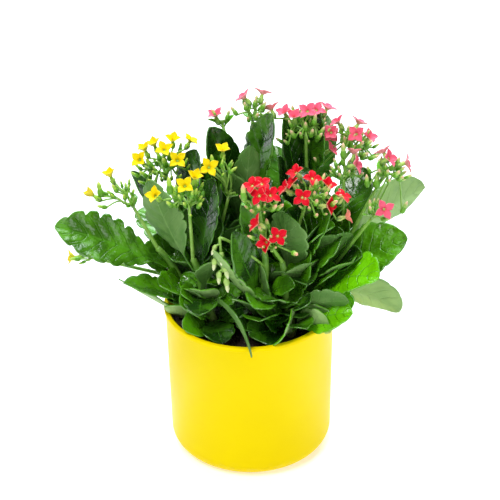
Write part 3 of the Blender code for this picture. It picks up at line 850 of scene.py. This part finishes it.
def make_head(name, stalk, flowers, buds, crowd, finishes, seed):
    """A whole flower head: stalk, bracts, flowers and buds.

    stalk is its stem, height on it, heading, rise and length; flowers are ((across, back, up) from the top of
    the stalk, heading and rise that it faces, opening); buds are ((across, back, up), heading, rise, size);
    crowd is (number, spread, centre) of more buds that fill the head.
    """
    stem, height, heading, rise, length = stalk
    dice = random.Random(seed)
    start = growing_point(stem, height, heading, rise, STALK_RADIUS)
    axis = compass(heading, rise)
    branch = start + axis * length * MM
    foot = stem_point(stem, min(height, STEMS[stem][2])) if height < STEMS[stem][2] else start - axis * 2 * MM
    green = new_shape()
    petals = new_shape()
    points = [foot] + [start.lerp(branch, i / 8) for i in range(9)]
    radii = [STALK_RADIUS] + [STALK_RADIUS * (1 - (1 - STALK_TAPER) * i / 8) for i in range(9)]
    add_tube(green, points, radii, 10)
    number, reach, centre = crowd
    middle = branch + Vector(centre) * MM
    crown = axis.to_track_quat("Z", "Y").to_matrix()
    forks = [branch + axis * reach * 0.45 * MM]
    forks += [branch + crown @ compass(72 * k + 20 * seed, 38) * reach * 0.5 * MM for k in range(5)]
    for fork in forks:
        add_tube(green, curve_points(branch, branch.lerp(fork, 0.5) + axis * 1.5 * MM, fork, 4),
                 [FORK_RADIUS] * 5, 7)

    def nearest(place):
        return min(forks, key=lambda fork: (fork - place).length)

    for k in range(number):
        tilt = 88 * math.sqrt((k + 0.4) / number) + dice.uniform(-12, 12)
        outward = crown @ compass(k * GOLDEN_ANGLE, 90 - tilt)
        place = middle + outward * (reach * dice.uniform(0.45, 1.05) * MM)
        lean = (outward + axis * 0.9).normalized()
        add_bud(green, nearest(place), axis, place, lean, dice.uniform(0.55, 1.0))
    for offset, turn, climb, size in buds:
        place = branch + Vector(offset) * MM
        add_bud(green, nearest(place), axis, place, compass(turn, climb), size)
    for offset, turn, climb, opening in flowers:
        place = branch + Vector(offset) * MM
        add_flower(green, petals, nearest(place), axis, place, turn, climb, opening,
                   dice.uniform(0.95, 1.08), dice.uniform(20, 70))
    for side in (-1, 1):
        bract_length = dice.uniform(11, 15) * MM
        half_width, lift = leaf_shape(bract_length, bract_length * 0.42, 14, 0.1, seed)
        add_blade(petals, branch - axis * 2 * MM, Matrix.Identity(3), heading + side * dice.uniform(60, 110),
                  dice.uniform(30, 55), 25, bract_length, 10, 4, half_width, lift, finish=LEAF_SIDE, tone=0.6)
    bmesh.ops.recalc_face_normals(green, faces=green.faces)
    slot = name.split("_")[0] + "_flowers"
    make_piece(name + "_stalks", green, [finishes[0], finishes[1]], slot, name)
    made = make_piece(name + "_petals", petals, [finishes[2], finishes[3], *LEAF_FINISHES], slot)
    thick = made.modifiers.new("thickness", "SOLIDIFY")
    thick.thickness = PETAL_THICKNESS
    thick.offset = -1
    thick.material_offset = 1
    thick.material_offset_rim = 1


def stalk_finish(name, colour, tint):
    finish, tree, shader, place = new_finish(name, roughness=0.4)
    patches, grain = mottle(tree, place, 200, 2200)
    rough = spread(tree, grain, 0.3, 0.7, 0.34, 0.5)
    dress(tree, shader, mixed(tree, patches, colour, tint), rough, grain, 0.00006)
    return finish


def bud_finish(name, green, pale, tip):
    """Buds and flower tubes: green at the foot, pale above the calyx and coloured at the tip."""
    finish, tree, shader, place = new_finish(name, roughness=0.42)
    patches, grain = mottle(tree, place, 260, 2600)
    tone = add_node(tree, "ShaderNodeAttribute", attribute_name="tone").outputs["Fac"]
    colour = mixed(tree, spread(tree, tone, 0.18, 0.46), green, pale)
    colour = mixed(tree, spread(tree, tone, 0.62, 1.0), colour, tip)
    colour = mixed(tree, maths(tree, "MULTIPLY", patches, 0.25), colour, (1, 1, 1, 1), "OVERLAY")
    dress(tree, shader, colour, spread(tree, grain, 0.3, 0.7, 0.36, 0.52), grain, 0.00006)
    return finish


def petal_finish(name, colour, deep, throat):
    """One side of the petals, with faint lines along them and a different colour in the throat."""
    finish, tree, shader, place = new_finish(name, roughness=0.5, specular_ior_level=0.15)
    patches, grain = mottle(tree, place, 240, 2400)
    uv = add_node(tree, "ShaderNodeUVMap", uv_map="UVMap").outputs[0]
    parts = add_node(tree, "ShaderNodeSeparateXYZ", {"Vector": uv})
    lines = maths(tree, "SINE", maths(tree, "MULTIPLY", parts.outputs["Y"], 60.0))
    shade = maths(tree, "MULTIPLY", spread(tree, lines, 0.2, 1.0), 0.35)
    uneven = maths(tree, "ADD", shade, maths(tree, "MULTIPLY", patches, 0.3))
    inside = spread(tree, parts.outputs["X"], 0.02, 0.22, 0.8, 0.0)
    colour = mixed(tree, inside, mixed(tree, uneven, colour, deep), throat)
    height = maths(tree, "ADD", maths(tree, "MULTIPLY", lines, 0.3), grain)
    dress(tree, shader, colour, spread(tree, grain, 0.3, 0.7, 0.42, 0.6), height, 0.00008)
    return finish


# Yellow plant: bright yellow petals on both faces, and green buds.
YELLOW_FINISHES = (
    stalk_finish("yellow_stalk", (0.22, 0.46, 0.05, 1), (0.32, 0.56, 0.10, 1)),
    bud_finish("yellow_bud", (0.10, 0.30, 0.01, 1), (0.28, 0.52, 0.04, 1), (0.50, 0.66, 0.10, 1)),
    petal_finish("yellow_petal_face", (0.96, 0.76, 0.0, 1), (0.86, 0.60, 0.0, 1), (0.80, 0.62, 0.02, 1)),
    petal_finish("yellow_petal_back", (0.88, 0.74, 0.06, 1), (0.75, 0.60, 0.04, 1), (0.60, 0.62, 0.10, 1)),
)
YELLOW_HEADS = {
    "yellow_flower_head_01": (("yellow_stem_back", 78, 179, 75, 33), [
        ((-19, -6, 16), 240, 45, 0.7),
        ((-8, 6, 22), 200, 70, 0.4),
        ((-15, 2, 20), 190, 70, 0.4),
        ((0, -6, 24), 265, 60, 0.7),
        ((10, -12, 18), 275, 48, 0.75),
        ((19, 4, 26), 10, 60, 0.7),
        ((6, 8, 25), 280, 75, 0.5),
    ], [], (40, 21, (0, 0, -2))),
    "yellow_flower_head_02": (("yellow_stem_front", 62, 178, 88, 44), [
        ((-2, -8, 22), 265, 50, 0.7),
        ((5, 0, 24), 300, 70, 0.4),
        ((-24, -6, 13), 225, 50, 0.6),
    ], [
        ((-13, -6, 15), 110, 75, 1.3),
    ], (24, 17, (0, 0, 2))),
    "yellow_flower_head_03": (("yellow_stem_front", 40, 30, 73, 73), [
        ((-14, -10, 29), 275, 40, 0.8),
        ((-4, 6, 34), 280, 80, 0.5),
    ], [], (12, 11, (-6, 0, 18))),
    "yellow_flower_head_04": (("yellow_stem_left", 60, 184, 66, 42), [
        ((-15, 0, 25), 190, 70, 0.35),
        ((-29, 0, 9), 180, 40, 0.15),
    ], [
        ((-23, 0, 8), 120, 70, 1.2),
    ], (12, 14, (-7, 0, 6))),
    "yellow_flower_head_05": (("yellow_stem_left", 34, 178, 15, 66), [
        ((-14, 0, 1), 190, 10, 0.5),
    ], [], (4, 7, (-4, 0, 0))),
}
for seed, (name, (stalk, flowers, buds, crowd)) in enumerate(YELLOW_HEADS.items()):
    make_head(name, stalk, flowers, buds, crowd, YELLOW_FINISHES, 100 + seed)

# A drooping spray of pale young buds hangs among the leaves in the middle: (across, back, up) from the level
# near the soil, heading, rise and size of each bud. The tail is how far the spray hangs from its top.
SPRAY_STEM = ("red_stem_left", 62)
SPRAY_TOP = (-21, -41, 96)
SPRAY_TAIL = (2, -2, -28)
SPRAY_BUDS = (
    ((-24, -42, 90), 240, -40, 0.8),
    ((-20, -42, 84), 270, -60, 1.0),
    ((-25, -43, 79), 250, -70, 0.9),
    ((-18, -43, 74), 300, -60, 1.1),
    ((-22, -43, 68), 260, -75, 1.0),
    ((-17, -43, 62), 290, -70, 1.1),
)


def make_spray():
    shape = new_shape()
    foot = stem_point(*SPRAY_STEM)
    top = Vector(SPRAY_TOP) * MM + Vector((0, 0, LEVEL))
    tail = top + Vector(SPRAY_TAIL) * MM
    lean = foot.lerp(top, 0.7) + Vector((0, 0, 5 * MM))
    add_tube(shape, curve_points(foot, lean, top, 8), [FORK_RADIUS] * 9, 7)
    add_tube(shape, curve_points(top, top.lerp(tail, 0.3), tail, 4), [FORK_RADIUS] * 5, 7)
    for offset, heading, rise, size in SPRAY_BUDS:
        place = Vector(offset) * MM + Vector((0, 0, LEVEL))
        share = min(max((top.z - place.z) / (top.z - tail.z), 0), 1)
        add_bud(shape, top.lerp(tail, share * 0.9), compass(heading, 10), place, compass(heading, rise), size)
    bmesh.ops.recalc_face_normals(shape, faces=shape.faces)
    pale = bud_finish("pale_bud", (0.34, 0.52, 0.12, 1), (0.58, 0.68, 0.30, 1), (0.74, 0.78, 0.46, 1))
    make_piece("young_bud_spray", shape, [YELLOW_FINISHES[0], pale], "yellow_flowers")


make_spray()

# Red plant: scarlet petals with pale pink backs, and buds that are pink at the tip.
RED_FINISHES = (
    stalk_finish("red_stalk", (0.18, 0.42, 0.04, 1), (0.27, 0.50, 0.08, 1)),
    bud_finish("red_bud", (0.13, 0.36, 0.02, 1), (0.45, 0.58, 0.14, 1), (0.90, 0.36, 0.26, 1)),
    petal_finish("red_petal_face", (0.78, 0.0, 0.018, 1), (0.55, 0.0, 0.01, 1), (0.72, 0.10, 0.02, 1)),
    petal_finish("red_petal_back", (0.90, 0.30, 0.22, 1), (0.80, 0.14, 0.10, 1), (0.85, 0.60, 0.36, 1)),
)
RED_HEADS = {
    "red_flower_head_01": (("red_stem_left", 74, 240, 80, 42), [
        ((-5, -4, 21), 220, 60, 0.9),
        ((2, 2, 19), 290, 70, 0.9),
        ((0, -10, 16), 255, 45, 1.0),
        ((8, -8, 15), 310, 50, 0.9),
    ], [
        ((-11, -10, 13), 110, 80, 1.2),
    ], (22, 12, (1, 0, 0))),
    "red_flower_head_02": (("red_stem_back", 84, 320, 74, 28), [
        ((-8, 6, 19), 200, 55, 0.8),
        ((4, 4, 15), 300, 60, 1.0),
        ((-11, 0, 13), 190, 50, 0.8),
        ((-16, -3, 10), 185, 40, 0.7),
        ((-4, -12, 8), 262, 40, 1.0),
        ((15, 0, 11), 330, 60, 0.6),
        ((26, -4, 4), 350, 60, 0.95),
        ((14, -14, 2), 330, 20, 0.6),
        ((28, -8, -11), 10, 10, 0.6),
    ], [], (34, 17, (6, 0, -4))),
    "red_flower_head_03": (("red_stem_front", 66, 247, 49, 30), [
        ((-10, -2, 21), 190, 35, 0.7),
        ((4, -6, 13), 275, 30, 1.0),
        ((-4, -6, 8), 230, 10, 0.6),
    ], [
        ((15, -6, -1), 290, 20, 1.0),
    ], (10, 11, (-2, 2, 4))),
}
for seed, (name, (stalk, flowers, buds, crowd)) in enumerate(RED_HEADS.items()):
    make_head(name, stalk, flowers, buds, crowd, RED_FINISHES, 200 + seed)

# Pink plant: salmon pink petals, deeper in the young flowers, and cream and pink buds.
PINK_FINISHES = (
    stalk_finish("pink_stalk", (0.18, 0.42, 0.04, 1), (0.28, 0.50, 0.09, 1)),
    bud_finish("pink_bud", (0.12, 0.34, 0.02, 1), (0.32, 0.54, 0.10, 1), (0.86, 0.50, 0.34, 1)),
    petal_finish("pink_petal_face", (0.95, 0.16, 0.25, 1), (0.88, 0.045, 0.13, 1), (0.85, 0.16, 0.16, 1)),
    petal_finish("pink_petal_back", (0.93, 0.36, 0.38, 1), (0.88, 0.22, 0.28, 1), (0.90, 0.62, 0.45, 1)),
)
PINK_HEADS = {
    "pink_flower_head_01": (("pink_stem_left", 104, 30, 78, 50), [
        ((-6, 0, 17), 170, 50, 0.65),
        ((7, 2, 19), 60, 60, 0.7),
    ], [], (16, 13, (0, 0, 0))),
    "pink_flower_head_02": (("pink_stem_left", 92, 116, 58, 54), [
        ((-5, 0, 7), 200, 75, 0.6),
    ], [], (3, 8, (0, 0, 0))),
    "pink_flower_head_03": (("pink_stem_middle", 96, 106, 85, 43), [
        ((-26, 4, 18), 120, 50, 0.65),
        ((-16, 2, 16), 200, 65, 0.65),
        ((-9, -4, 15), 260, 75, 0.5),
        ((1, -4, 20), 250, 55, 0.85),
        ((8, 2, 18), 320, 60, 0.8),
        ((16, 6, 17), 20, 65, 0.7),
        ((19, -6, 3), 250, 35, 0.6),
    ], [], (36, 19, (0, 0, -4))),
    "pink_flower_head_04": (("pink_stem_middle", 80, 12, 52, 55), [
        ((-10, 4, 21), 170, 55, 0.7),
        ((-16, -4, 16), 265, 15, 0.75),
        ((5, 4, 20), 30, 60, 0.65),
        ((3, -8, 17), 250, 35, 0.85),
        ((13, 0, 10), 330, 55, 0.65),
        ((-17, -8, 4), 350, 40, 0.7),
    ], [
        ((-23, -6, -10), 200, 50, 1.1),
    ], (32, 17, (0, 0, -3))),
    "pink_flower_head_05": (("pink_stem_right", 66, 85, 78, 46), [
        ((7, 2, 20), 80, 60, 0.55),
        ((8, -6, 15), 340, 25, 0.85),
    ], [
        ((-1, -4, 20), 100, 80, 1.2),
    ], (14, 13, (0, 0, 2))),
    "pink_flower_head_06": (("pink_stem_right", 60, 351, 66, 68), [
        ((0, 2, 18), 130, 50, 0.75),
        ((3, -2, 15), 330, 40, 0.75),
        ((16, 0, 10), 355, 15, 0.75),
    ], [
        ((-12, -4, -7), 120, 80, 1.0),
        ((-5, -4, -8), 90, 80, 1.3),
        ((-9, -4, -29), 100, 70, 1.0),
        ((-5, -4, -26), 60, 70, 0.9),
        ((15, 0, -32), 30, 60, 1.0),
    ], (20, 14, (4, 0, -2))),
    "pink_flower_head_07": (("pink_stem_right", 40, 323, 58, 70), [
        ((7, -6, 9), 280, 25, 0.85),
    ], [], (4, 8, (0, 0, 0))),
}
for seed, (name, (stalk, flowers, buds, crowd)) in enumerate(PINK_HEADS.items()):
    make_head(name, stalk, flowers, buds, crowd, PINK_FINISHES, 300 + seed)


# ---------------------------------------------------------------- floor, light and camera
# A plain pale floor and soft studio light: a broad lamp high on the left in front, a weaker one on the
# right, and a strip behind that puts a sheen on the leaves.

FLOOR_GLOW = 0.38
SKY_GLOW = 0.14
CAMERA_LENS = 103.2
CAMERA_AIM = (1.1 * MM, 0, 171 * MM)
CAMERA_FAR = 1.1
CAMERA_TILT = 30.44
CAMERA_ROLL = -0.84

# Where each lamp is, what it points at, its size, its power and its colour.
LAMPS = {
    "key": ((-0.5, -0.6, 1.5), (0, 0, 0.15), (0.6, 0.6), 17, (1, 1, 1)),
    "fill": ((0.9, -1.1, 0.8), (0, 0, 0.12), (0.9, 0.9), 6, (1, 1, 1)),
    "sheen": ((0.1, 0.9, 1.3), (0, 0, 0.18), (1.6, 1.0), 42, (0.86, 0.93, 1.0)),
}


def make_floor():
    finish, tree, shader, place = new_finish("pale_floor", roughness=0.7)
    patches, grain = mottle(tree, place, 3, 300)
    colour = mixed(tree, patches, (0.84, 0.84, 0.84, 1), (0.86, 0.86, 0.86, 1))
    tree.links.new(colour, shader.inputs["Base Color"])
    shader.inputs["Emission Color"].default_value = (1, 1, 1, 1)
    shader.inputs["Emission Strength"].default_value = FLOOR_GLOW
    shape = bmesh.new()
    bmesh.ops.create_grid(shape, x_segments=2, y_segments=2, size=4)
    bmesh.ops.translate(shape, verts=shape.verts, vec=(0, 0, POT_LOW.z))
    mesh = bpy.data.meshes.new("floor")
    shape.to_mesh(mesh)
    shape.free()
    mesh.materials.append(finish)
    floor = bpy.data.objects.new("floor", mesh)
    bpy.context.scene.collection.objects.link(floor)


def add_lamp(name, place, target, size, power, colour):
    lamp = bpy.data.lights.new(name, "AREA")
    lamp.shape = "RECTANGLE"
    lamp.size, lamp.size_y = size
    lamp.energy = power
    lamp.color = colour
    holder = bpy.data.objects.new(name, lamp)
    holder.location = place
    holder.rotation_euler = (Vector(target) - Vector(place)).to_track_quat("-Z", "Y").to_euler()
    bpy.context.scene.collection.objects.link(holder)


def add_camera():
    """The camera looks down at the plant from in front, turned a hair about its own axis."""
    lens = bpy.data.cameras.new("camera")
    lens.lens = CAMERA_LENS
    lens.sensor_width = 36
    lens.clip_start = 0.05
    lens.clip_end = 20
    tilt = math.radians(CAMERA_TILT)
    back = Vector((0, -math.cos(tilt), math.sin(tilt)))
    up = Vector((0, math.sin(tilt), math.cos(tilt)))
    turn = Matrix((Vector((1, 0, 0)), up, back)).transposed().to_4x4()
    camera = bpy.data.objects.new("camera", lens)
    place = Matrix.Translation(Vector(CAMERA_AIM) + back * CAMERA_FAR)
    camera.matrix_world = place @ turn @ Matrix.Rotation(math.radians(CAMERA_ROLL), 4, "Z")
    bpy.context.scene.collection.objects.link(camera)
    bpy.context.scene.camera = camera


make_floor()
sky = bpy.data.worlds.new("studio")
sky.use_nodes = True
sky.node_tree.nodes["Background"].inputs["Color"].default_value = (1, 1, 1, 1)
sky.node_tree.nodes["Background"].inputs["Strength"].default_value = SKY_GLOW
bpy.context.scene.world = sky
for name, lamp in LAMPS.items():
    add_lamp(name, *lamp)
bpy.context.scene.view_settings.view_transform = "Standard"
add_camera()
